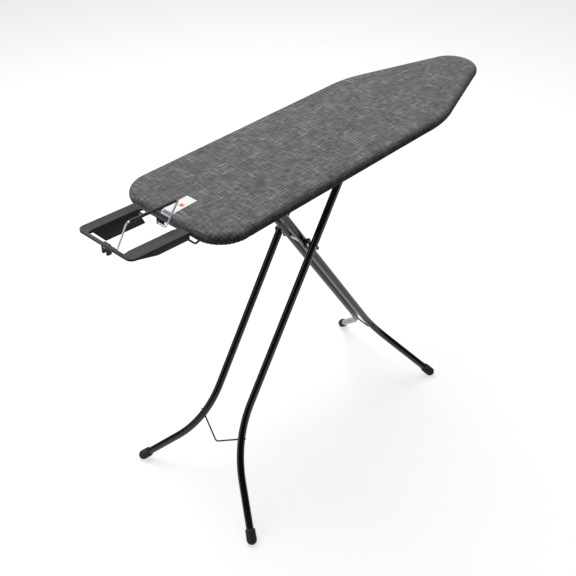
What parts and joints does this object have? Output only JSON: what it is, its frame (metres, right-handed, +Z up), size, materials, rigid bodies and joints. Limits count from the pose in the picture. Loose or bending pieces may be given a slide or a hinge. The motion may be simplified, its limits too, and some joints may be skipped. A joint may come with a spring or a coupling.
{
  "type": "ironing board",
  "caption": "Folding ironing board: a padded, fabric-covered pointed top on crossed bent-tube legs, with a hanging iron tray and its wire bail at the square end.",
  "frame": {"origin": "bottom centre of the bounding box, on the floor", "axes": "+X along the top from its square end to its pointed nose, +Z up"},
  "size_m": [1.419, 0.51, 1.0859],
  "materials": {
    "cover_fabric": "woven charcoal melange",
    "label_fabric": "printed satin tape",
    "pad_foam": "open-cell foam",
    "top_steel": "satin light grey",
    "black_steel": "gloss black powder coat",
    "zinc_steel": "bright zinc plating",
    "brass_bolt": "yellow zinc plating",
    "foot_rubber": "matt blue-black",
    "black_plastic": "moulded",
    "rest_steel": "satin dark grey"
  },
  "bodies": {
    "board": {"ironing_cover": "cover_fabric", "cover_label": "label_fabric", "foam_pad": "pad_foam", "mesh_plate": "top_steel", "rim_frame": "top_steel", "inner_hinge_bracket": "black_steel", "slide_rail_near": "black_steel", "slide_rail_far": "black_steel", "lever_pin": "zinc_steel", "lever_bracket_rear": "black_steel", "lever_bracket_front": "black_steel", "lever_spring": "zinc_steel", "iron_rest": "rest_steel", "bail_clip_inner": "black_plastic", "bail_clip_outer": "black_plastic", "rest_support_near": "black_steel", "rest_support_far": "black_steel", "rest_clamp_near": "black_steel", "rest_clamp_far": "black_steel", "rest_screw_near": "zinc_steel", "rest_screw_far": "zinc_steel"},
    "inner_legs": {"inner_leg_near": "black_steel", "inner_leg_far": "black_steel", "inner_foot_near": "foot_rubber", "inner_foot_far": "foot_rubber", "inner_brace_wire": "black_steel", "inner_hinge_rod": "zinc_steel", "pivot_sleeve": "zinc_steel", "pivot_washer_near": "black_plastic", "pivot_washer_far": "black_plastic"},
    "outer_legs": {"outer_leg_near": "black_steel", "outer_leg_far": "black_steel", "outer_foot_near": "foot_rubber", "outer_foot_far": "foot_rubber", "outer_brace_wire": "black_steel", "outer_crossbar": "zinc_steel", "slide_shoe_near": "black_plastic", "slide_shoe_far": "black_plastic", "pivot_spacer_near": "zinc_steel", "pivot_spacer_far": "zinc_steel", "pivot_bolt": "black_steel", "pivot_nut": "brass_bolt"},
    "height_lever": {"height_comb": "black_steel", "height_handle": "black_steel", "handle_grip": "black_plastic"},
    "bail": {"bail_wire": "zinc_steel", "bail_sleeve": "black_plastic"}
  },
  "joints": [
    {"name": "leg_fold", "type": "hinge", "parent": "board", "child": "inner_legs", "pos_m": [-0.23746, 0, 0.95], "axis": [0, -1, 0], "range_deg": [0, 53.66]},
    {"name": "leg_scissor", "type": "hinge", "parent": "inner_legs", "child": "outer_legs", "pos_m": [-0.08017, 0, 0.7109], "axis": [0, 1, 0], "range_deg": [0, 107.5]},
    {"name": "height_lever_drop", "type": "hinge", "parent": "board", "child": "height_lever", "pos_m": [0.06954, 0.06, 0.98], "axis": [1, 0, 0], "range_deg": [0, 10], "stiffness_Nm_per_rad": 0.4, "springref_deg": 10},
    {"name": "bail_swing", "type": "hinge", "parent": "board", "child": "bail", "pos_m": [-0.54102, 0, 0.98702], "axis": [0.9984, 0, -0.0558], "range_deg": [-110, 24]}
  ],
  "couplings": [
    {"joint": "leg_scissor", "follows": "leg_fold", "ratio": 2}
  ]
}
